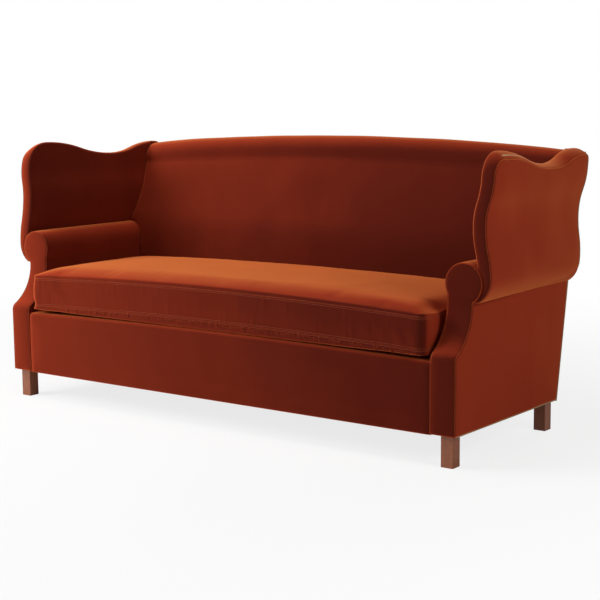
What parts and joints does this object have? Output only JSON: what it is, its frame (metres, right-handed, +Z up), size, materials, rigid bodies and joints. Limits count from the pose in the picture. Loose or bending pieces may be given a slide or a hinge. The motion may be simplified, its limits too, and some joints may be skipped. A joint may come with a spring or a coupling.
{
  "type": "high back settee",
  "caption": "High back settee with serpentine wings, roll arms with set-back fronts, a tight arched back and one loose bench cushion on four square wooden legs.",
  "frame": {"origin": "middle of the footprint, on the floor", "axes": "+Z up, front towards -Y, +X to the right seen from the front"},
  "size_m": [2.014, 0.8026, 0.949],
  "materials": {
    "velvet": "cotton velvet, short pile",
    "leg_wood": "stained walnut, satin",
    "frame_timber": "sawn beech",
    "padding": "foam and fibre wadding",
    "lining": "plain woven lining",
    "hessian": "jute",
    "board": "thin fibreboard",
    "steel": "spring steel, plain"
  },
  "bodies": {
    "settee": {"arm_facing_left": "velvet", "arm_facing_right": "velvet", "arm_pad_left": "padding", "arm_pad_right": "padding", "arm_post_left": "frame_timber", "arm_post_right": "frame_timber", "arm_tack_rails": "frame_timber", "arm_top_rail_left": "frame_timber", "arm_top_rail_right": "frame_timber", "back_pad": "padding", "back_post_left": "frame_timber", "back_post_right": "frame_timber", "back_seat_rail": "frame_timber", "back_tack_rail": "frame_timber", "back_uprights": "frame_timber", "back_webbing": "hessian", "corner_blocks": "frame_timber", "crest_rail": "frame_timber", "deck_cover": "lining", "deck_pad": "padding", "dust_cover": "lining", "front_leg_left": "leg_wood", "front_leg_right": "leg_wood", "front_rail_cover": "velvet", "front_rail_pad": "padding", "front_seat_rail": "frame_timber", "inner_arm_cover_left": "velvet", "inner_arm_cover_right": "velvet", "inner_back_cover": "velvet", "inner_wing_cover_left": "velvet", "inner_wing_cover_right": "velvet", "leg_bolts": "steel", "outer_arm_board_left": "board", "outer_arm_board_right": "board", "outer_arm_cover_left": "velvet", "outer_arm_cover_right": "velvet", "outer_back_board": "board", "outer_back_cover": "velvet", "outer_wing_cover_left": "velvet", "outer_wing_cover_right": "velvet", "rear_leg_left": "leg_wood", "rear_leg_right": "leg_wood", "seat_hessian": "hessian", "seat_springs": "steel", "seat_stretchers": "frame_timber", "side_seat_rail_left": "frame_timber", "side_seat_rail_right": "frame_timber", "spring_clips": "steel", "wing_border_left": "velvet", "wing_border_right": "velvet", "wing_pad_left": "padding", "wing_pad_right": "padding", "wing_post_left": "frame_timber", "wing_post_right": "frame_timber", "wing_top_rail_left": "frame_timber", "wing_top_rail_right": "frame_timber"},
    "seat_cushion": {"cushion_cover": "velvet", "cushion_wrap": "padding", "cushion_core": "padding"}
  },
  "joints": [
    {"name": "cushion_lift", "type": "slide", "parent": "settee", "child": "seat_cushion", "axis": [0, 0, 1], "range_m": [0, 0.3]}
  ]
}
